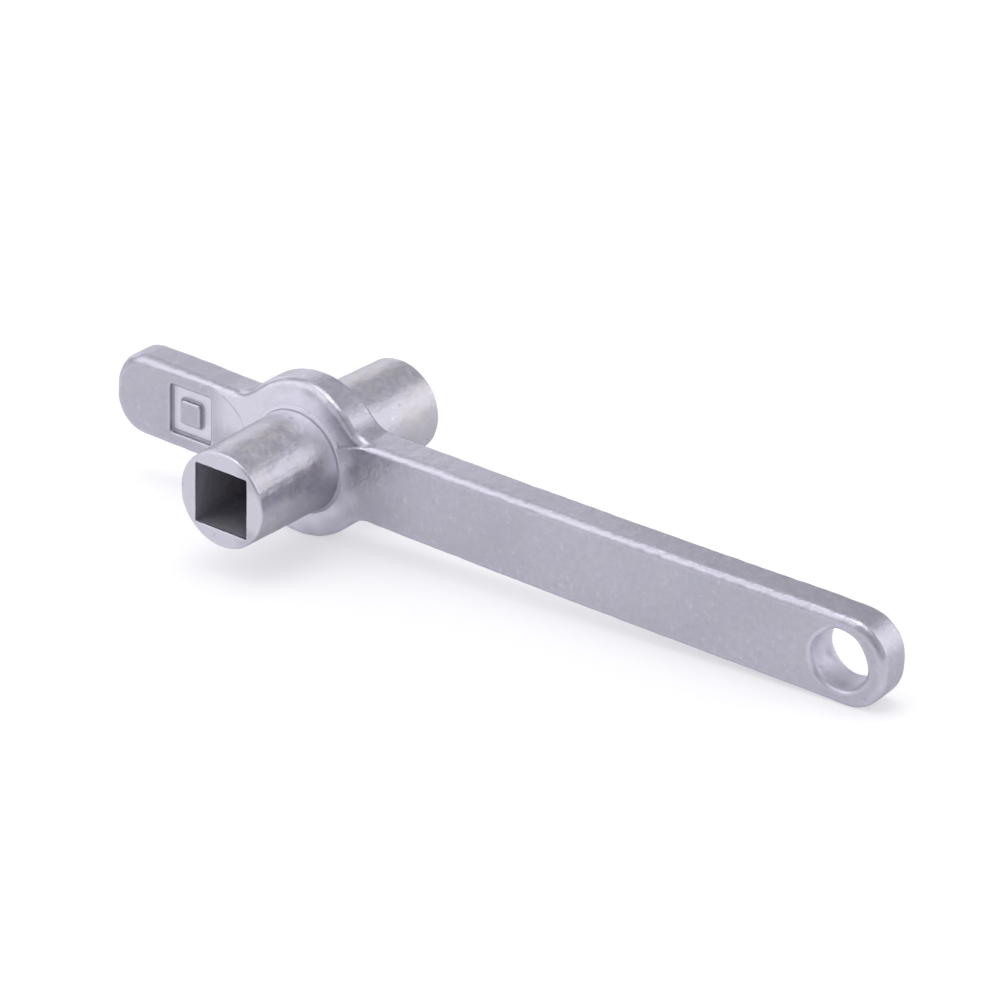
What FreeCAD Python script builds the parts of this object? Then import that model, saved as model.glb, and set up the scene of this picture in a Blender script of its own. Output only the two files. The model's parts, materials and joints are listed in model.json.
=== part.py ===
import FreeCAD, Part
import math
import os

# Double-ended square socket wrench, in millimetres.
# The origin is on the axis of the two sockets, at the middle of the lever's thickness.
# +X runs along the long bar to the hang hole, +Y to the rear socket and +Z up the height of the bar.

# Square drive
SQUARE_SIDE = 8.2
SQUARE_DEPTH = 13.0

# Sockets: tubes with a slight casting draft, thicker at the root
FRONT_REACH = 17.8
REAR_REACH = 18.6
MOUTH_DIAMETER = 12.9
ROOT_DIAMETER = 13.6
MOUTH_ROUND = 0.35
ROOT_FLARE_WIDTH = 0.7
ROOT_FLARE_HEIGHT = 0.6

# Square spigots that key the sockets into the hub and meet in its middle
SPIGOT_SIDE = 8.8

# Lever: hub, long bar and short arm in one casting. The arm is stepped back towards the rear.
LEVER_THICKNESS = 5.2
HUB_DIAMETER = 21.2
BAR_ROOT_HEIGHT = 10.9
BAR_END_HEIGHT = 11.4
BAR_REACH = 86.3
BAR_CORNER_RADIUS = 5.2
ARM_THICKNESS = 5.2
ARM_STEP_BACK = 0.8
ARM_HEIGHT = 11.2
ARM_REACH = 31.2
ARM_CORNER_RADIUS = 5.0
BAR_NECK_RADIUS = 3.0
ARM_NECK_RADIUS = 1.6
EDGE_ROUND = 0.85

# Hang hole near the end of the bar
HOLE_REACH = 80.1
HOLE_DIAMETER = 7.5
HOLE_ROUND = 0.5

# Recessed symbol on the arm: a square frame that stands for the square drive
SYMBOL_REACH = 18.6
SYMBOL_SIDE = 7.0
SYMBOL_ISLAND_SIDE = 3.2
SYMBOL_DEPTH = 0.5

HALF_THICKNESS = LEVER_THICKNESS / 2
HUB_RADIUS = HUB_DIAMETER / 2
FRONT = -1
REAR = 1


def vec(x, z, y=0.0):
    """A point given by its place in the lever's outline, X and Z, and its Y."""
    return FreeCAD.Vector(x, y, z)


def square_prism(side, y_low, y_high, x_centre=0.0):
    """A square bar along Y."""
    corner = vec(x_centre - side / 2, -side / 2, y_low)
    return Part.makeBox(side, y_high - y_low, side, corner)


def arc_about(centre, start, end):
    """The short arc from start to end about a centre."""
    middle = start.sub(centre).add(end.sub(centre)).normalize()
    return Part.Arc(start, centre.add(middle.multiply(start.sub(centre).Length)), end).toShape()


def half_limb(reach, root_height, end_height, corner_radius, neck_radius, side):
    """Upper edges of one limb of the lever, from the hub's side to the middle of the limb's end.

    The limb's edge is a straight line with a slight taper. A neck arc joins it to the hub's circle,
    and a corner arc joins it to the flat end. side is 1 for the bar (+X) and -1 for the arm (-X).
    Returns the edges and the point where the neck arc leaves the hub.
    """
    slope = (end_height - root_height) / 2 / reach
    along = vec(1, slope).normalize()
    normal = vec(-slope, 1).normalize()
    line_distance = vec(0, root_height / 2).dot(normal)

    neck_offset = line_distance + neck_radius
    neck_travel = math.sqrt((HUB_RADIUS + neck_radius) ** 2 - neck_offset ** 2)
    neck_centre = normal * neck_offset + along * neck_travel
    on_hub = neck_centre * (HUB_RADIUS / neck_centre.Length)
    neck_end = neck_centre - normal * neck_radius

    corner_offset = line_distance - corner_radius
    corner_travel = (reach - corner_radius - (normal * corner_offset).x) / along.x
    corner_centre = normal * corner_offset + along * corner_travel
    corner_start = corner_centre + normal * corner_radius
    corner_end = vec(reach, corner_centre.z)

    def placed(point):
        return vec(point.x * side, point.z)

    edges = [
        arc_about(placed(neck_centre), placed(on_hub), placed(neck_end)),
        Part.makeLine(placed(neck_end), placed(corner_start)),
        arc_about(placed(corner_centre), placed(corner_start), placed(corner_end)),
        Part.makeLine(placed(corner_end), vec(reach * side, 0)),
    ]
    return edges, placed(on_hub)


def plate_from(upper_edges, y_low, thickness, open_end):
    """A plate whose outline is the given upper edges and their mirror image, with rounded edges.

    open_end is the X of a straight side inside the hub that stays sharp, or None.
    """
    lower = [edge.mirror(FreeCAD.Vector(), FreeCAD.Vector(0, 0, 1)) for edge in upper_edges]
    face = Part.Face(Part.Wire(Part.__sortEdges__(upper_edges + lower)))
    face.translate(FreeCAD.Vector(0, y_low, 0))
    plate = face.extrude(FreeCAD.Vector(0, thickness, 0))
    rims = [
        edge for edge in plate.Edges
        if edge.BoundBox.YLength < 1e-6
        and not (open_end is not None and abs(edge.BoundBox.XMax - open_end) < 1e-6
                 and edge.BoundBox.XLength < 1e-6)
    ]
    return plate.makeFillet(EDGE_ROUND, rims)


def make_bar_and_hub():
    """The long bar with its hang hole, and the round hub."""
    edges, on_hub = half_limb(
        BAR_REACH, BAR_ROOT_HEIGHT, BAR_END_HEIGHT, BAR_CORNER_RADIUS, BAR_NECK_RADIUS, 1)
    hub = Part.Arc(on_hub, vec(0, HUB_RADIUS), vec(-HUB_RADIUS, 0)).toShape()
    plate = plate_from(edges + [hub], -HALF_THICKNESS, LEVER_THICKNESS, None)

    start = vec(HOLE_REACH, 0, -LEVER_THICKNESS)
    plate = plate.cut(Part.makeCylinder(HOLE_DIAMETER / 2, 2 * LEVER_THICKNESS, start, FreeCAD.Vector(0, 1, 0)))
    rims = [
        edge for edge in plate.Edges
        if edge.BoundBox.YLength < 1e-6 and edge.BoundBox.XMin > HOLE_REACH - HOLE_DIAMETER
        and edge.BoundBox.ZLength < HOLE_DIAMETER + 0.1
        and abs(edge.BoundBox.Center.x - HOLE_REACH) < 0.1
    ]
    return plate.makeFillet(HOLE_ROUND, rims)


def make_arm():
    """The short arm, stepped back from the hub's front face."""
    edges, on_hub = half_limb(ARM_REACH, ARM_HEIGHT, ARM_HEIGHT, ARM_CORNER_RADIUS, ARM_NECK_RADIUS, -1)
    inside_hub = Part.makeLine(on_hub, vec(on_hub.x, 0))
    return plate_from(edges + [inside_hub], ARM_STEP_BACK - ARM_THICKNESS / 2, ARM_THICKNESS, on_hub.x)


def make_lever():
    """Bar, arm and hub in one casting, with the square keyway and the arm's symbol."""
    casting = make_bar_and_hub().fuse(make_arm())
    keyway = square_prism(SPIGOT_SIDE, -LEVER_THICKNESS, LEVER_THICKNESS)
    arm_front = ARM_STEP_BACK - ARM_THICKNESS / 2
    symbol_floor = arm_front + SYMBOL_DEPTH
    recess = square_prism(SYMBOL_SIDE, -LEVER_THICKNESS, symbol_floor, -SYMBOL_REACH)
    island = square_prism(SYMBOL_ISLAND_SIDE, -LEVER_THICKNESS, symbol_floor, -SYMBOL_REACH)
    return casting.cut(keyway).cut(recess.cut(island))


def make_socket(reach, end):
    """A tubular socket with a blind square hole in its mouth and a square spigot on its root.

    It is drawn pointing to +Y with the lever's middle at Y = 0, then turned to its own end.
    """
    mouth_radius = MOUTH_DIAMETER / 2
    root_radius = ROOT_DIAMETER / 2
    flare_radius = root_radius + ROOT_FLARE_WIDTH
    flare_top = HALF_THICKNESS + ROOT_FLARE_HEIGHT
    profile = [
        vec(0, 0, HALF_THICKNESS),
        vec(flare_radius, 0, HALF_THICKNESS),
        vec(root_radius, 0, flare_top),
        vec(mouth_radius, 0, reach - MOUTH_ROUND),
        vec(mouth_radius - MOUTH_ROUND, 0, reach),
        vec(0, 0, reach),
    ]
    half_section = Part.Face(Part.makePolygon(profile + [profile[0]]))
    barrel = half_section.revolve(FreeCAD.Vector(), FreeCAD.Vector(0, 1, 0), 360)

    square_floor = reach - SQUARE_DEPTH
    square_hole = square_prism(SQUARE_SIDE, square_floor, reach)
    spigot = square_prism(SPIGOT_SIDE, 0, HALF_THICKNESS)
    socket = barrel.fuse(spigot).cut(square_hole)
    if end == FRONT:
        socket = socket.rotated(FreeCAD.Vector(), FreeCAD.Vector(0, 0, 1), 180)
    return socket


def main():
    nodes = {
        "lever": make_lever(),
        "front_socket": make_socket(FRONT_REACH, FRONT),
        "rear_socket": make_socket(REAR_REACH, REAR),
    }
    os.makedirs("parts", exist_ok=True)
    for name, shape in nodes.items():
        solid = shape.Solids[0]
        box = solid.BoundBox
        print(name, "valid", shape.isValid(), "solids", len(shape.Solids), "volume", round(solid.Volume, 1),
              "box", [round(v, 2) for v in (box.XMin, box.YMin, box.ZMin, box.XMax, box.YMax, box.ZMax)])
        solid.exportStep("parts/" + name + ".step")


main()
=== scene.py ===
import json
import math

import bpy
import numpy as np
from mathutils import Matrix, Vector


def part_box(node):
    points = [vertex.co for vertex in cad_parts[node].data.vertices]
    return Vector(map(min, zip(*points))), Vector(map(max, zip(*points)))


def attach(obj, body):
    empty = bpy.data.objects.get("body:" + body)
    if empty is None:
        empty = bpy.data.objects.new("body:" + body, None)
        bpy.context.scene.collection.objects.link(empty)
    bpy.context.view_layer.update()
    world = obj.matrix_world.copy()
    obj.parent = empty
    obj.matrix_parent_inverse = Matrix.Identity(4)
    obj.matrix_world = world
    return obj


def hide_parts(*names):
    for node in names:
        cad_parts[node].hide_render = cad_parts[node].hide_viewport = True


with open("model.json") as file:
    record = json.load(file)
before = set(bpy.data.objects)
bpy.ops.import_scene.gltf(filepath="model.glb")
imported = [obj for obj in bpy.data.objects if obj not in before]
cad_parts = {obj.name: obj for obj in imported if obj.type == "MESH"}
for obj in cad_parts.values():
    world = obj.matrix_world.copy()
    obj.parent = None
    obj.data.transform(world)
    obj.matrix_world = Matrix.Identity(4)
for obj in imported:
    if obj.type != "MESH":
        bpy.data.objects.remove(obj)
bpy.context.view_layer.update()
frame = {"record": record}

# The shapes below are worked out in millimetres, in the CAD frame: +X along the long bar, +Y out of the
# rear socket, +Z up the height of the bar, origin on the sockets' axis at the middle of the lever.
MM = 0.001


def box_mm(node):
    low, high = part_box(node)
    return np.array(low) / MM, np.array(high) / MM


lever_low, lever_high = box_mm("lever")
front_low, front_high = box_mm("front_socket")
rear_low, rear_high = box_mm("rear_socket")
mounts = {mount["name"]: mount for mount in frame["record"]["mounts"]}

# Sizes that the frame gives
HALF_THICKNESS = -lever_low[1]
ARM_STEP_BACK = lever_high[1] - HALF_THICKNESS
HUB_RADIUS = lever_high[2]
BAR_REACH = lever_high[0]
ARM_REACH = -lever_low[0]
FRONT_REACH = -front_low[1]
REAR_REACH = rear_high[1]
HOLE_REACH = mounts["hang_hole"]["pos_m"][0] / MM
HOLE_RADIUS = mounts["hang_hole"]["dims"]["r_mm"]

# Sizes that repeat the design's own
BAR_ROOT_HEIGHT = 10.9
BAR_END_HEIGHT = 11.4
BAR_CORNER_RADIUS = 5.2
BAR_NECK_RADIUS = 3.0
ARM_HEIGHT = 11.2
ARM_NECK_RADIUS = 1.6
EDGE_ROUND = 0.85
HOLE_ROUND = 0.5
SQUARE_SIDE = 8.2
SQUARE_DEPTH = 13.0
SPIGOT_SIDE = 8.8
MOUTH_RADIUS = 6.45
ROOT_RADIUS = 6.8
MOUTH_ROUND = 0.35
SYMBOL_REACH = 18.6
SYMBOL_SIDE = 7.0
SYMBOL_ISLAND_SIDE = 3.2

# Small roundings and gaps that the design leaves out
SQUARE_CORNER = 0.25
SQUARE_EDGE_ROUND = 0.1
SPIGOT_CORNER = 0.1
SPIGOT_CLEARANCE = 0.02
SYMBOL_CORNER = 0.5
SYMBOL_ISLAND_CORNER = 0.4
SYMBOL_DRAFT = 0.2
SYMBOL_EDGE_ROUND = 0.12

# Small bends of the real casting
BAR_BOW = 0.22
END_DROOP = 0.25
END_DROOP_LENGTH = 5
ARM_LIFT = 0.2

# Pairs named FADE, SPAN, RAMP or HEIGHTS are the two places between which something grows or dies away.

# Where wear and the mould left it a little different from the design: the front upper edges are rounder,
# most of all at the arm's corner. The arm's rear edges are sharper, its end is squarer, its neck is wider in
# front, and its front face is further back. The hub's face leans back at its top, and the symbol is deeper.
# The two numbers for the arm's neck are shares of ARM_NECK_RADIUS.
WORN_EDGE = 0.2
WORN_CORNER = 0.4
WORN_CORNER_SPAN = (17, 27)
SHARPER_REAR_EDGE = 0.25
SHARPER_REAR_SPAN = (12, 20)
ARM_CORNER_RADIUS = 4.6
ARM_NECK_FRONT = 1.3
ARM_NECK_NARROWING = 0.55
ARM_NECK_SPAN = (-1.5, 2.5)
ARM_FRONT_STEP = ARM_STEP_BACK + 0.18
HUB_LEAN = 0.42
HUB_LEAN_HEIGHTS = (6.5, 9.5)
HUB_LEAN_FADE = (1.5, 6)
HOLE_FRONT_ROUND = 0.15
SYMBOL_DEPTH = 0.6

# The arm's faces are stepped back from the hub's: in front along a low crease and then a soft ramp onto the
# hub, behind in one ramp
CREASE_START = 8.7
CREASE_CURVE = 0.2
CREASE_RISE = 0.14
CREASE_SPAN = (-0.8, 0.6)
FRONT_RAMP = (5.5, 11.0)
REAR_RAMP = (5.5, 9.0)

# The bar's front face starts a little proud of the hub's, along a witness line
WITNESS_START = 6.8
WITNESS_HEIGHT = 3.8
WITNESS_SLOPE = 0.32
WITNESS_RISE = 0.2
WITNESS_SPAN = (-0.12, 0.12)
WITNESS_ROOT_RAMP = (4, 7)
WITNESS_BAR_FADE = (13, 30)
WITNESS_HEIGHTS = (-5, 1)

# Thin collar at the root of each socket
COLLAR_RADIUS = 7.3
COLLAR_HEIGHT = 0.15
COLLAR_FILLET = 0.35
COLLAR_EDGE_ROUND = 0.12
SEAT_DEPTH = 0.1

# Fine faults of the cast surfaces, as layers of height, wavelength and seed
LEVER_RELIEF = ((0.007, 7.0, 11), (0.009, 2.4, 12), (0.004, 1.1, 13))
SOCKET_RELIEF = ((0.012, 5.0, 21), (0.016, 2.0, 22), (0.006, 0.9, 23))

# Small beads of metal left by the mould on the lever's front face, as X and Z
BEADS = ((-27.3, -1.7), (-25.7, -3.5), (-15.1, -3.0), (17.1, -0.1), (41.9, -2.4))
BEAD_LENGTH = 0.35
BEAD_WIDTH = 0.3
BEAD_HEIGHT = 0.09

# Grid steps of the meshes
LEVER_STEP = 0.216
SOCKET_STEP = 0.135

# A point of the lever belongs to its front if its normal's Y is below this
FACES_FRONT = -0.8


# ---------------------------------------------------------------- distance fields
# A field gives each point's distance to a surface: below zero inside the metal, above zero outside it.

def join(a, b, radius):
    """Union of two fields with a concave fillet where they meet."""
    near_a = np.maximum(radius - a, 0)
    near_b = np.maximum(radius - b, 0)
    return np.maximum(radius, np.minimum(a, b)) - np.hypot(near_a, near_b)


def keep_common(a, b, radius):
    """Intersection of two fields with a rounded edge where they meet."""
    near_a = np.maximum(radius + a, 0)
    near_b = np.maximum(radius + b, 0)
    return np.minimum(-radius, np.maximum(a, b)) + np.hypot(near_a, near_b)


def rounded_rectangle(u, v, half_u, half_v, corner):
    out_u = np.abs(u) - half_u + corner
    out_v = np.abs(v) - half_v + corner
    outside = np.hypot(np.maximum(out_u, 0), np.maximum(out_v, 0))
    return outside + np.minimum(np.maximum(out_u, out_v), 0) - corner


def rounded_square(u, v, side, corner):
    return rounded_rectangle(u, v, side / 2, side / 2, corner)


def ease(value, low, high):
    """0 below low, 1 above high, smooth between."""
    t = np.clip((value - low) / (high - low), 0, 1)
    return t * t * (3 - 2 * t)


def wobble(points, wavelength, seed, waves=14):
    """A smooth random field of about -1 to 1: a sum of plane waves in random directions."""
    rng = np.random.default_rng(seed)
    directions = rng.normal(size=(waves, 3))
    directions /= np.linalg.norm(directions, axis=1)[:, None]
    rates = 2 * math.pi / (wavelength * rng.uniform(0.7, 1.4, waves))
    phases = rng.uniform(0, 2 * math.pi, waves)
    total = np.zeros(len(points))
    for direction, rate, phase in zip(directions, rates, phases):
        total += np.sin(points @ direction * rate + phase)
    return total / math.sqrt(waves)


# ---------------------------------------------------------------- meshes from fields

def surface_mesh(field, low, high, step):
    """A quad mesh of the surface where a field is zero: one vertex for each grid cell that it passes through,
    moved onto the surface itself, and one quad for each grid edge that it cuts."""
    axes = [np.arange(low[i] - 2 * step, high[i] + 3 * step, step) for i in range(3)]
    x, y, z = np.meshgrid(*axes, indexing="ij")
    shape = x.shape
    values = field(np.stack([x.ravel(), y.ravel(), z.ravel()], 1)).reshape(shape)
    inside = values < 0
    cells = tuple(n - 1 for n in shape)
    crossings = np.zeros(cells, np.int16)
    sums = np.zeros(cells + (3,))
    for axis in range(3):
        others = [a for a in range(3) if a != axis]
        start = [slice(None)] * 3
        stop = [slice(None)] * 3
        start[axis] = slice(0, -1)
        stop[axis] = slice(1, None)
        a, b = values[tuple(start)], values[tuple(stop)]
        cut = (a < 0) != (b < 0)
        share = np.where(cut, a / np.where(cut, a - b, 1), 0)
        for first in (0, 1):
            for second in (0, 1):
                part = [slice(None)] * 3
                part[others[0]] = slice(first, shape[others[0]] - 1 + first)
                part[others[1]] = slice(second, shape[others[1]] - 1 + second)
                here = cut[tuple(part)]
                crossings += here
                sums[..., axis] += np.where(here, share[tuple(part)], 0)
                sums[..., others[0]] += here * first
                sums[..., others[1]] += here * second
    active = crossings > 0
    number = np.full(cells, -1, np.int64)
    number[active] = np.arange(active.sum())
    corner = np.stack(np.nonzero(active), 1)
    origin = np.array([axis[0] for axis in axes])
    points = origin + step * (corner + sums[active] / crossings[active][:, None])

    quads = []
    for axis in range(3):
        u, v = (axis + 1) % 3, (axis + 2) % 3
        start = [slice(1, -1)] * 3
        stop = [slice(1, -1)] * 3
        start[axis] = slice(0, -1)
        stop[axis] = slice(1, None)
        a, b = inside[tuple(start)], inside[tuple(stop)]
        for flip, edge in ((False, a & ~b), (True, ~a & b)):
            at = np.stack(np.nonzero(edge), 1)
            at[:, u] += 1
            at[:, v] += 1
            ring = []
            for du, dv in ((1, 1), (0, 1), (0, 0), (1, 0)):
                cell = at.copy()
                cell[:, u] -= du
                cell[:, v] -= dv
                ring.append(number[cell[:, 0], cell[:, 1], cell[:, 2]])
            ring = np.stack(ring, 1)
            quads.append(ring[:, ::-1] if flip else ring)
    quads = np.concatenate(quads)

    settling_passes = 3
    for _ in range(settling_passes):
        distance, slope = slope_of(field, points, step / 4)
        points -= slope * np.clip(distance, -step, step)[:, None]
    return points, quads


def slope_of(field, points, reach):
    """The distance of each point to a field's surface, and its unit direction of steepest climb."""
    slope = np.empty_like(points)
    for axis in range(3):
        shift = np.zeros(3)
        shift[axis] = reach
        slope[:, axis] = field(points + shift) - field(points - shift)
    length = np.linalg.norm(slope, axis=1)[:, None]
    steepness = length[:, 0] / (2 * reach)
    least_steepness = 0.3
    return field(points) / np.maximum(steepness, least_steepness), slope / np.maximum(length, 1e-9)


def curve_of(field, points, reach):
    """How strongly the surface bends at each point: above zero on outer edges, below zero in corners."""
    total = -6 * field(points)
    for axis in range(3):
        shift = np.zeros(3)
        shift[axis] = reach
        total += field(points + shift) + field(points - shift)
    return total / reach ** 2


# ---------------------------------------------------------------- marks on the surface

def add_relief(points, normals, layers):
    """Move the surface gently in and out by a sum of wobbles, given as height, wavelength and seed."""
    relief = sum(height * wobble(points, wavelength, seed) for height, wavelength, seed in layers)
    return points + normals * relief[:, None]


def press_marks(points, normals, centres, headings, length, width, height):
    """Move the surface in or out in small oval marks. Returns the moved points and each point's share of a
    mark, 0 to 1. Centres and headings have a row for each mark; length, width and height a number."""
    reach_in_lengths = 3
    share = np.zeros(len(points))
    rise = np.zeros(len(points))
    for centre, heading, long, wide, high in zip(centres, headings, length, width, height):
        offset = points - centre
        near = np.nonzero(np.einsum("ij,ij->i", offset, offset) < (reach_in_lengths * long) ** 2)[0]
        along = offset[near] @ heading
        across = np.linalg.norm(offset[near] - along[:, None] * heading, axis=1)
        strength = np.exp(-(along / long) ** 2 - (across / wide) ** 2)
        share[near] = np.maximum(share[near], strength)
        rise[near] += high * strength
    return points + normals * rise[:, None], share


def scatter_marks(points, normals, count, seed, length, width, height):
    """Marks at random places, each with a random heading along the surface. Sizes are (least, most)."""
    rng = np.random.default_rng(seed)
    at = rng.choice(len(points), count, replace=False)
    headings = np.cross(normals[at], rng.normal(size=(count, 3)))
    headings /= np.linalg.norm(headings, axis=1)[:, None]
    sizes = [rng.uniform(*span, count) for span in (length, width, height)]
    return press_marks(points, normals, points[at], headings, *sizes)


def add_piece(name, points, quads, attributes):
    mesh = bpy.data.meshes.new(name)
    mesh.from_pydata((points * MM).tolist(), [], quads.tolist())
    for key, values in attributes.items():
        layer = mesh.attributes.new(key, "FLOAT", "POINT")
        layer.data.foreach_set("value", values.astype(np.float32))
    mesh.update()
    mesh.shade_smooth()
    piece = bpy.data.objects.new(name, mesh)
    bpy.context.scene.collection.objects.link(piece)
    return piece


# ---------------------------------------------------------------- lever

def bend(x):
    """How far the middle line of the casting strays from straight, along Z: it cooled a little bowed."""
    bow = -BAR_BOW * np.sin(math.pi * np.clip((x - HUB_RADIUS) / (HOLE_REACH - HUB_RADIUS), 0, 1))
    droop = -END_DROOP * ease(x, HOLE_REACH - END_DROOP_LENGTH, BAR_REACH)
    return bow + droop + ARM_LIFT * ease(-x, HUB_RADIUS, ARM_REACH)


def lever_plan(x, y, z):
    """The lever's outline: hub, bar and arm with filleted necks. The arm's neck is wider in front."""
    z = z - bend(x)
    hub = np.hypot(x, z) - HUB_RADIUS
    bar_half = (BAR_ROOT_HEIGHT + (BAR_END_HEIGHT - BAR_ROOT_HEIGHT) * np.clip(x / BAR_REACH, 0, 1)) / 2
    bar = rounded_rectangle(x - BAR_REACH / 2, z, BAR_REACH / 2, bar_half, BAR_CORNER_RADIUS)
    arm = rounded_rectangle(x + ARM_REACH / 2, z, ARM_REACH / 2, ARM_HEIGHT / 2, ARM_CORNER_RADIUS)
    # Where the limbs meet the hub at a slant, half the neck's radius gives the same width of fillet.
    arm_neck = ARM_NECK_RADIUS * (ARM_NECK_FRONT - ARM_NECK_NARROWING * ease(y, *ARM_NECK_SPAN))
    return join(join(hub, bar, BAR_NECK_RADIUS / 2), arm, arm_neck)


def past_crease(x, z):
    """How far a place lies past the crease, on the arm's side of it."""
    return -x - CREASE_START - CREASE_CURVE * z * z


def front_step(x, z):
    """How far the lever's front face is set back at a place in its outline."""
    crease = CREASE_RISE * ease(past_crease(x, z), *CREASE_SPAN)
    arm = crease + (ARM_FRONT_STEP - CREASE_RISE) * ease(-x, *FRONT_RAMP)
    hub = HUB_LEAN * ease(z, *HUB_LEAN_HEIGHTS) * (1 - ease(x, *HUB_LEAN_FADE))
    return arm + hub * (1 - arm / ARM_FRONT_STEP)


def rear_step(x):
    return ARM_STEP_BACK * ease(-x, *REAR_RAMP)


def witness_rise(x, z):
    """How far the front face stands proud of the hub's face, below the witness line at the bar's root."""
    below = WITNESS_HEIGHT + WITNESS_SLOPE * (x - WITNESS_START) - z
    root = ease(x, *WITNESS_ROOT_RAMP) * (1 - ease(x, *WITNESS_BAR_FADE)) * ease(z, *WITNESS_HEIGHTS)
    return WITNESS_RISE * root * ease(below, *WITNESS_SPAN)


def lever_field(points):
    x, y, z = points.T
    front = -HALF_THICKNESS + front_step(x, z) - witness_rise(x, z)
    rear = HALF_THICKNESS + rear_step(x)
    edge = EDGE_ROUND + 0.04 * wobble(points, 8.0, 31, waves=8) + 0.035 * wobble(points, 2.2, 32)
    behind = ease(y, 0, 1.5)
    worn = WORN_EDGE + WORN_CORNER * ease(-x, *WORN_CORNER_SPAN)
    edge += worn * ease(z, 0, 4) * (1 - behind) - SHARPER_REAR_EDGE * ease(-x, *SHARPER_REAR_SPAN) * behind
    plan = lever_plan(x, y, z) + edge
    face = np.abs(y - (front + rear) / 2) - (rear - front) / 2 + edge
    outside = np.hypot(np.maximum(plan, 0), np.maximum(face, 0))
    body = outside + np.minimum(np.maximum(plan, face), 0) - edge

    rim = HOLE_ROUND + HOLE_FRONT_ROUND * (1 - ease(y, -1.5, 0)) + 0.1 * wobble(points, 3.5, 33, waves=8)
    hole = HOLE_RADIUS + 0.05 * wobble(points, 3.0, 34) - np.hypot(x - HOLE_REACH, z + END_DROOP / 2)
    body = keep_common(body, hole, rim)

    keyway = -rounded_square(x, z, SPIGOT_SIDE, SPIGOT_CORNER)
    body = np.maximum(body, keyway)

    depth = y - front
    outer = rounded_square(x + SYMBOL_REACH, z, SYMBOL_SIDE, SYMBOL_CORNER)
    island = rounded_square(x + SYMBOL_REACH, z, SYMBOL_ISLAND_SIDE, SYMBOL_ISLAND_CORNER)
    channel = np.maximum(outer + SYMBOL_DRAFT * depth, -island + SYMBOL_DRAFT * depth)
    recess = keep_common(channel, depth - SYMBOL_DEPTH, SYMBOL_EDGE_ROUND)
    return keep_common(body, -recess, SYMBOL_EDGE_ROUND)


# ---------------------------------------------------------------- sockets

def socket_field(points, reach, side):
    """A socket that points along +Y or -Y, as side is 1 or -1."""
    x, y, z = points.T
    y = y * side
    radius = np.hypot(x, z)
    along = np.clip((y - HALF_THICKNESS) / (reach - HALF_THICKNESS), 0, 1)
    barrel = radius - (ROOT_RADIUS + (MOUTH_RADIUS - ROOT_RADIUS) * along)
    collar = keep_common(radius - COLLAR_RADIUS, y - HALF_THICKNESS - COLLAR_HEIGHT, COLLAR_EDGE_ROUND)
    barrel = join(barrel, collar, COLLAR_FILLET)
    barrel = keep_common(barrel, y - reach, MOUTH_ROUND)
    barrel = np.maximum(barrel, HALF_THICKNESS - SEAT_DEPTH - y)
    square = rounded_square(x, z, SQUARE_SIDE, SQUARE_CORNER)
    hole = np.maximum(square, reach - SQUARE_DEPTH - y)
    barrel = keep_common(barrel, -hole, SQUARE_EDGE_ROUND)
    spigot = rounded_square(x, z, SPIGOT_SIDE - 2 * SPIGOT_CLEARANCE, SPIGOT_CORNER)
    spigot = np.maximum(spigot, np.abs(y - HALF_THICKNESS / 2 - SPIGOT_CLEARANCE / 2) - HALF_THICKNESS / 2)
    return np.minimum(barrel, spigot)


# ---------------------------------------------------------------- pieces

# Each piece carries vertex attributes that its material reads. edge is how sharply it bends outwards, up to
# this limit. The painted shade attribute is how sharply it bends inwards, up to this limit, for painted shade
# in corners, with more painted shade added on some places. nick, pit, inside and the rub and painted light
# attribute are shares from 0 to 1.
MOST_CURVE = 1.5


def front_light_and_rub(points):
    """How much each point of the lever's front is painted lighter, 0 to 1: painted light on the hub, at the
    arm's root and along the crease, and a lighter floor in the symbol."""
    x, y, z = points.T
    hub_reach = np.hypot(x + 1.5, z) + 0.5 * wobble(points, 3.0, 14)
    hub = (1 - ease(hub_reach, 8.0, 11.5)) * (1 - 0.25 * ease(-x, 0, 7))
    past = past_crease(x, z)
    arm_side = ease(-x, 0, 5)
    hub_side_of_crease = 0.75 * ease(-past, -0.6, 0.8) * arm_side * ease(z, -2.5, 1)
    arm_root = 0.7 * ease(x, -16, -11.5) * arm_side * ease(z, -2, 1.5)
    crease = np.exp(-(past / 0.9) ** 2) * arm_side * ease(z, -2.5, 1)
    past_symbol = np.maximum(np.abs(x + SYMBOL_REACH), np.abs(z)) - SYMBOL_SIDE / 2
    symbol_floor = ease(-past_symbol, 0, 0.3) * ease(y - ARM_FRONT_STEP + HALF_THICKNESS, 0.35, 0.55)
    return np.maximum.reduce([hub, hub_side_of_crease, arm_root, crease, 0.8 * symbol_floor])


def lever_painted_shade(points, normals):
    """How much painted shade each point of the lever gets: low on the bar's root in front, and on top of the
    arm.
    """
    x, _, z = points.T
    bar_root = 0.55 * ease(x, 8, 11) * (1 - ease(x, 12, 21)) * (1 - ease(z, -3, 3))
    arm_top = 0.7 * ease(-x, 10.5, 14) * ease(normals[:, 2], 0.8, 0.98)
    return bar_root * (normals[:, 1] < FACES_FRONT) + arm_top


def press_beads(points, normals, x, z):
    """Raise the small beads of metal on the lever's front face, each at the point nearest to its place. x and
    z are the points' own places, from before the relief was added."""
    flat_front = -0.9
    front = np.nonzero(normals[:, 1] < flat_front)[0]
    centres = []
    for bead_x, bead_z in BEADS:
        nearest = np.hypot(x[front] - bead_x, z[front] - bead_z).argmin()
        centres.append(points[front[nearest]])
    upright = np.tile((0.0, 0.0, 1.0), (len(BEADS), 1))
    sizes = [[size] * len(BEADS) for size in (BEAD_LENGTH, BEAD_WIDTH, BEAD_HEIGHT)]
    return press_marks(points, normals, np.array(centres), upright, *sizes)


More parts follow.
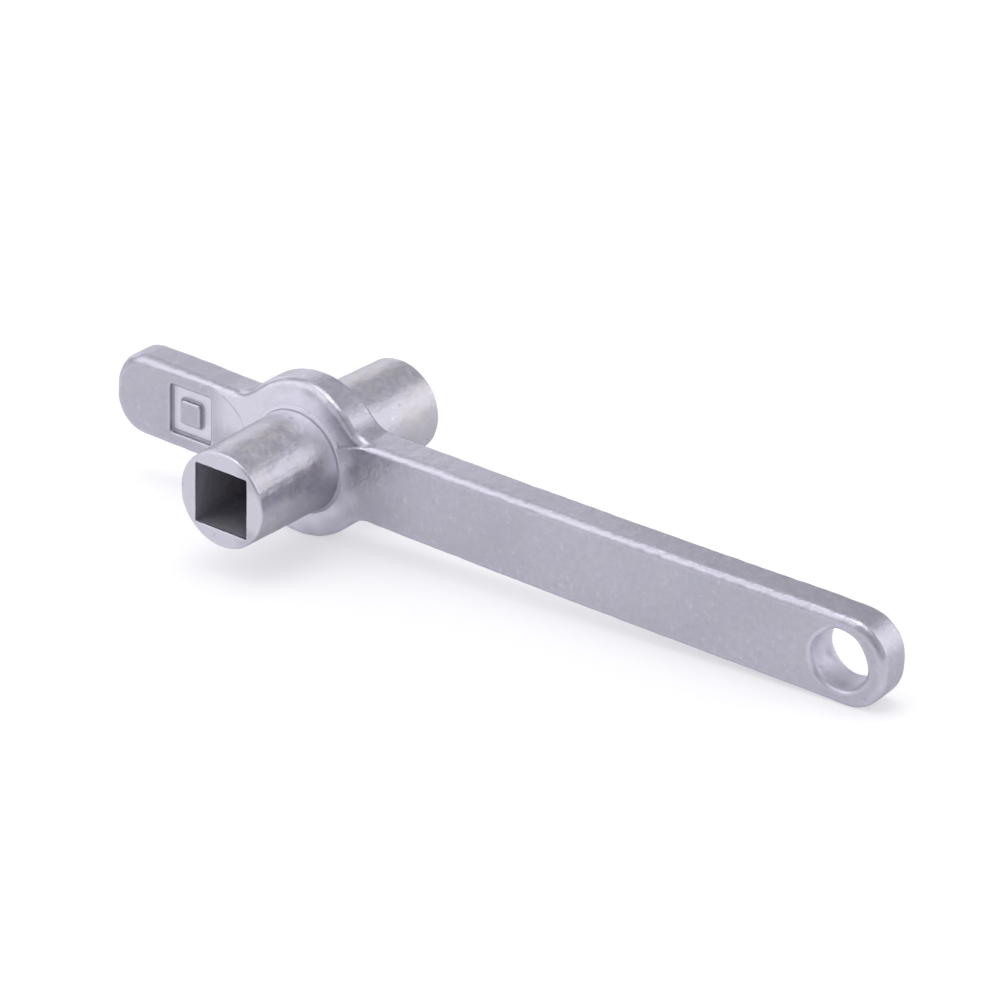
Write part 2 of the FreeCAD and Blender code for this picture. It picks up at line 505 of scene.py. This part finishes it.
def make_lever():
    points, quads = surface_mesh(lever_field, lever_low, lever_high, LEVER_STEP)
    _, normals = slope_of(lever_field, points, reach=0.1)
    curve = curve_of(lever_field, points, reach=0.3)
    x, _, z = points.T
    moved = add_relief(points, normals, LEVER_RELIEF)
    moved, beads = press_beads(moved, normals, x, z)
    moved, nicks = scatter_marks(
        moved, normals, count=480, seed=43,
        length=(0.2, 0.7), width=(0.12, 0.2), height=(-0.015, 0.005))
    moved, pits = scatter_marks(
        moved, normals, count=50, seed=42,
        length=(0.2, 0.4), width=(0.2, 0.3), height=(-0.04, -0.02))
    hole_wall = 1 - ease(np.hypot(x - HOLE_REACH, z) - HOLE_RADIUS, 0.1, 0.5)
    # Painted light on the hole's wall, more on the part that faces down and towards the bar's end.
    hole_painted_light = (0.4 + 0.3 * ease(z - x + HOLE_REACH, -2, 3)) * hole_wall
    return add_piece("cast_lever", moved, quads, {
        "edge": np.clip(curve, 0, MOST_CURVE),
        "painted_shade": np.clip(-curve, 0, MOST_CURVE) + lever_painted_shade(points, normals),
        "nick": np.maximum(beads, nicks),
        "pit": pits,
        "painted_light_and_rub": np.maximum(front_light_and_rub(points) * (normals[:, 1] < FACES_FRONT), hole_painted_light),
        "inside": 0.3 * hole_wall,
    })


def make_socket(name, reach, side, low, high):
    def field(points):
        return socket_field(points, reach, side)

    points, quads = surface_mesh(field, low, high, SOCKET_STEP)
    _, normals = slope_of(field, points, reach=0.07)
    curve = curve_of(field, points, reach=0.3)
    moved = add_relief(points, normals, SOCKET_RELIEF)
    moved, nicks = scatter_marks(
        moved, normals, count=90, seed=51 + side,
        length=(0.2, 0.7), width=(0.12, 0.18), height=(-0.02, 0.005))
    moved, pits = scatter_marks(
        moved, normals, count=50, seed=61 + side,
        length=(0.2, 0.4), width=(0.2, 0.35), height=(-0.05, -0.02))
    x, y, z = points.T
    square = rounded_square(x, z, SQUARE_SIDE, SQUARE_CORNER)
    depth = reach - np.abs(y)
    # Painted light on the barrel near its root, where it meets the hub, except on its shaded underside.
    root = ease(depth, reach - HALF_THICKNESS - 5, reach - HALF_THICKNESS)
    # The mouth's face is painted lighter, less so at its corners towards the bar.
    darker_mouth_corners = 0.9 * ease(x, 2, 4) * ease(np.abs(z), 2, 3.5)
    mouth = 0.5 * (1 - ease(depth, 0.1, 0.4)) * (1 - darker_mouth_corners)
    # Painted shade on the side that faces down and towards the bar, more so near the root.
    under = ease(x - z, 4.5, 8.5) * ease(square, 0.2, 0.6) * ease(depth, 0.5, 10)
    return add_piece(name, moved, quads, {
        "edge": np.clip(curve, 0, MOST_CURVE),
        "painted_shade": np.maximum(np.clip(-curve, 0, MOST_CURVE), 1.4 * under),
        "nick": nicks,
        "pit": pits,
        "inside": ease(-square, -0.2, 0.05) * ease(depth, 0.1, 0.6),
        "painted_light_and_rub": np.maximum(mouth, root * (1 - under)),
    })


# ---------------------------------------------------------------- materials

# How much darker than its own colour a metal is in darker random tone and in painted shade, and how much
# lighter it is where worn and in painted light
DARK_TONE_AND_SHADE = 0.72
WORN = 1.35
LIGHT_AND_RUB_FACTORS = (1.63, 1.63, 1.57)
SPECULAR_TINT = (0.76, 0.76, 0.78, 1)

# The values of a noise or an attribute between which its effect grows
CLOUD_SPAN = (0.35, 0.65)
PATCH_SPAN = (0.4, 0.65)
MOTTLE_SPAN = (0.3, 0.7)
SPECKLE_SPAN = (0.6, 0.76)
EDGE_SPAN = (0.3, 1.3)
PAINTED_SHADE_SPAN = (0.2, 1.2)
MARK_SPAN = (0.2, 0.9)
FULL_SPAN = (0, 1)

# Depth of the finest grain, in metres
GRAIN_DEPTH = 0.00005


def cast_metal(name, color, warm_color, roughness, grain):
    """Blasted zinc alloy: patches of slightly warmer tone, fine grain, bright worn edges and nicks, darker,
    rougher pits, and rougher places with painted shade in corners and painted light on marked places."""
    material = bpy.data.materials.new(name)
    material.use_nodes = True
    tree = material.node_tree
    shader = tree.nodes["Principled BSDF"]
    shader.inputs["Metallic"].default_value = 1.0
    shader.inputs["Specular Tint"].default_value = SPECULAR_TINT

    def node(kind, **settings):
        new = tree.nodes.new(kind)
        for key, value in settings.items():
            setattr(new, key, value)
        return new

    def feed(socket, value):
        if hasattr(value, "links"):
            tree.links.new(value, socket)
        else:
            socket.default_value = value

    def noise(scale, detail):
        """Smooth noise of about 0 to 1, with scale ripples to a metre."""
        texture = node("ShaderNodeTexNoise")
        feed(texture.inputs["Vector"], coordinates)
        feed(texture.inputs["Scale"], scale)
        feed(texture.inputs["Detail"], detail)
        return texture.outputs["Fac"]

    def remap(value, span, new_span):
        """Stretch a value from one span to another, and hold it at the ends."""
        ramp = node("ShaderNodeMapRange")
        for key, number in zip(("From Min", "From Max", "To Min", "To Max"), (*span, *new_span)):
            feed(ramp.inputs[key], number)
        feed(ramp.inputs["Value"], value)
        return ramp.outputs["Result"]

    def calculate(operation, first, second):
        maths = node("ShaderNodeMath", operation=operation)
        feed(maths.inputs[0], first)
        feed(maths.inputs[1], second)
        return maths.outputs["Value"]

    def blend_colors(share, first, second):
        mix = node("ShaderNodeMix", data_type="RGBA")
        feed(mix.inputs["Factor"], share)
        feed(mix.inputs["A"], first)
        feed(mix.inputs["B"], second)
        return mix.outputs["Result"]

    def attribute(key):
        return node("ShaderNodeAttribute", attribute_name=key).outputs["Fac"]

    coordinates = node("ShaderNodeTexCoord").outputs["Object"]
    clouds = noise(scale=75, detail=2)
    patches = noise(scale=240, detail=3)
    mottle = noise(scale=1100, detail=3)
    speckle = noise(scale=3200, detail=2)
    edge, painted_shade = attribute("edge"), attribute("painted_shade")
    nick, pit = attribute("nick"), attribute("pit")
    inside, painted_light_and_rub = attribute("inside"), attribute("painted_light_and_rub")

    dark = tuple(DARK_TONE_AND_SHADE * part for part in color)
    bright = tuple(min(WORN * part, 1) for part in color)
    light_and_rub_color = tuple(factor * part for factor, part in zip(LIGHT_AND_RUB_FACTORS, color))
    tone = blend_colors(remap(patches, PATCH_SPAN, (0, 0.6)), (*color, 1), (*warm_color, 1))
    tone = blend_colors(remap(clouds, CLOUD_SPAN, (0.32, 0)), tone, (*dark, 1))
    tone = blend_colors(remap(mottle, MOTTLE_SPAN, (0.42, 0)), tone, (*dark, 1))
    tone = blend_colors(remap(speckle, SPECKLE_SPAN, (0, 0.32)), tone, (*bright, 1))
    # Painted light: a lighter colour on the marked places.
    tone = blend_colors(painted_light_and_rub, tone, (*light_and_rub_color, 1))
    tone = blend_colors(remap(edge, EDGE_SPAN, (0, 0.3)), tone, (*bright, 1))
    tone = blend_colors(remap(nick, MARK_SPAN, (0, 0.34)), tone, (*bright, 1))
    # Painted shade in corners and on the marked places, and darker pits.
    shadow = calculate("MAXIMUM", remap(painted_shade, PAINTED_SHADE_SPAN, (0, 0.75)), remap(pit, MARK_SPAN, (0, 0.5)))
    tone = blend_colors(shadow, tone, (*dark, 1))
    feed(shader.inputs["Base Color"], tone)

    rough = remap(mottle, MOTTLE_SPAN, (roughness - 0.05, roughness + 0.06))
    rough = calculate("SUBTRACT", rough, remap(edge, EDGE_SPAN, (0, 0.03)))
    rough = calculate("SUBTRACT", rough, remap(nick, MARK_SPAN, (0, 0.06)))
    rough = calculate("ADD", rough, remap(inside, FULL_SPAN, (0, 0.4)))
    rough = calculate("ADD", rough, remap(painted_light_and_rub, FULL_SPAN, (0, 0.27)))
    rough = calculate("ADD", rough, remap(shadow, FULL_SPAN, (0, 0.15)))
    feed(shader.inputs["Roughness"], rough)

    coarse_grain = noise(scale=1900, detail=2)
    fine_grain = noise(scale=5200, detail=1)
    height = calculate("ADD", coarse_grain, calculate("MULTIPLY", fine_grain, 0.5))
    bump = node("ShaderNodeBump")
    feed(bump.inputs["Strength"], grain)
    feed(bump.inputs["Distance"], GRAIN_DEPTH)
    feed(bump.inputs["Height"], height)
    feed(shader.inputs["Normal"], bump.outputs["Normal"])
    return material


lever = make_lever()
lever_metal = cast_metal(
    "blasted_cast_metal", color=(0.478, 0.468, 0.54), warm_color=(0.488, 0.468, 0.514),
    roughness=0.35, grain=0.7)
lever.data.materials.append(lever_metal)
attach(lever, "root")
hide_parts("lever")

socket_metal = cast_metal(
    "smooth_cast_metal", color=(0.475, 0.465, 0.53), warm_color=(0.51, 0.48, 0.48),
    roughness=0.37, grain=0.6)
for name, node_name, reach, side, low, high in (
    ("socket_front", "front_socket", FRONT_REACH, -1, front_low, front_high),
    ("socket_rear", "rear_socket", REAR_REACH, 1, rear_low, rear_high),
):
    socket = make_socket(name, reach, side, low, high)
    socket.data.materials.append(socket_metal)
    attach(socket, "root")
    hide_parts(node_name)


# ---------------------------------------------------------------- floor

# The wrench lies on the rim of its hub and the round end of its bar, so the floor rises slightly along +X.
end_reach = BAR_REACH - BAR_CORNER_RADIUS
end_drop = BAR_END_HEIGHT / 2 - BAR_CORNER_RADIUS
floor_slope = math.asin((HUB_RADIUS - BAR_CORNER_RADIUS) / math.hypot(end_reach, end_drop))
floor_slope -= math.atan2(end_drop, end_reach)
floor_up = Vector((-math.sin(floor_slope), 0, math.cos(floor_slope)))


def make_floor():
    mesh = bpy.data.meshes.new("floor")
    half = 3.0
    corners = [(-half, -half, 0), (half, -half, 0), (half, half, 0), (-half, half, 0)]
    mesh.from_pydata(corners, [], [(0, 1, 2, 3)])
    floor = bpy.data.objects.new("floor", mesh)
    bpy.context.scene.collection.objects.link(floor)
    floor.rotation_euler = (0, -floor_slope, 0)
    floor.location = floor_up * -(HUB_RADIUS * MM)
    material = bpy.data.materials.new("pale_floor")
    material.use_nodes = True
    shader = material.node_tree.nodes["Principled BSDF"]
    shader.inputs["Base Color"].default_value = (0.52, 0.52, 0.52, 1)
    shader.inputs["Roughness"].default_value = 0.7
    shader.inputs["Emission Color"].default_value = (0.97, 0.97, 1.0, 1)
    shader.inputs["Emission Strength"].default_value = 0.5
    mesh.materials.append(material)


make_floor()


# ---------------------------------------------------------------- camera and light

# Angles in degrees, distances and lens in millimetres
CAMERA_AZIMUTH = 35.0
CAMERA_ELEVATION = 27.0
CAMERA_ROLL = 2.47
CAMERA_DISTANCE = 469.5
CAMERA_LENS = 138.0
AIM = Vector((29.62, 0.0, 3.04))

# Azimuth and elevation in degrees, width and height in metres, and radiance of each softbox
SOFTBOX_DISTANCE = 0.9
SOFTBOXES = {
    "softbox_above": (230, 85, 0.62, 0.62, 2.0),
    "softbox_right_behind": (141, 21, 0.62, 0.64, 1.25),
    "softbox_left_behind": (240, 16, 0.9, 0.48, 1.02),
    "softbox_front_left": (-47, 35, 0.6, 0.9, 1.18),
}

# Strength of the tent and of its darker opening, which grows dark from its edge to its core, in degrees from
# its middle
TENT_STRENGTH = 0.69
OPENING_STRENGTH = 0.4
OPENING_CORE = 9
OPENING_EDGE = 24


def direction(azimuth, elevation):
    """The unit direction from the object to a place at an azimuth (0 is -Y, 90 is +X) and an elevation."""
    a, e = math.radians(azimuth), math.radians(elevation)
    return Vector((math.sin(a) * math.cos(e), -math.cos(a) * math.cos(e), math.sin(e)))


def make_camera():
    data = bpy.data.cameras.new("camera")
    data.lens = CAMERA_LENS
    data.clip_start = 0.01
    data.clip_end = 20
    camera = bpy.data.objects.new("camera", data)
    bpy.context.scene.collection.objects.link(camera)
    back = direction(CAMERA_AZIMUTH, CAMERA_ELEVATION)
    turn = (-back).to_track_quat("-Z", "Y").to_matrix().to_4x4()
    roll = Matrix.Rotation(math.radians(CAMERA_ROLL), 4, "Z")
    place = (AIM + back * CAMERA_DISTANCE) * MM
    camera.matrix_world = Matrix.Translation(place) @ turn @ roll
    bpy.context.scene.camera = camera


def add_softbox(name, azimuth, elevation, width, height, radiance):
    """An area light that faces the object, as bright as a sheet of the given radiance."""
    data = bpy.data.lights.new(name, "AREA")
    data.shape = "RECTANGLE"
    data.size = width
    data.size_y = height
    data.energy = radiance * math.pi * width * height
    light = bpy.data.objects.new(name, data)
    bpy.context.scene.collection.objects.link(light)
    back = direction(azimuth, elevation)
    light.location = AIM * MM + back * SOFTBOX_DISTANCE
    light.rotation_euler = (-back).to_track_quat("-Z", "Y").to_euler()
    light.visible_camera = False


def make_world(opening):
    """A pale tent, with a darker opening in one direction."""
    world = bpy.data.worlds.new("studio")
    world.use_nodes = True
    tree = world.node_tree
    background = tree.nodes["Background"]
    background.inputs["Color"].default_value = (0.965, 0.965, 1.0, 1)
    coordinates = tree.nodes.new("ShaderNodeTexCoord")
    dot = tree.nodes.new("ShaderNodeVectorMath")
    dot.operation = "DOT_PRODUCT"
    dot.inputs[1].default_value = opening
    tree.links.new(coordinates.outputs["Generated"], dot.inputs[0])
    ramp = tree.nodes.new("ShaderNodeMapRange")
    ramp.interpolation_type = "SMOOTHSTEP"
    ramp.inputs["From Min"].default_value = math.cos(math.radians(OPENING_EDGE))
    ramp.inputs["From Max"].default_value = math.cos(math.radians(OPENING_CORE))
    ramp.inputs["To Min"].default_value = TENT_STRENGTH
    ramp.inputs["To Max"].default_value = OPENING_STRENGTH
    tree.links.new(dot.outputs["Value"], ramp.inputs["Value"])
    tree.links.new(ramp.outputs["Result"], background.inputs["Strength"])
    bpy.context.scene.world = world


make_camera()
make_world(direction(CAMERA_AZIMUTH, CAMERA_ELEVATION))
for name, placing in SOFTBOXES.items():
    add_softbox(name, *placing)
bpy.context.scene.view_settings.view_transform = "Standard"
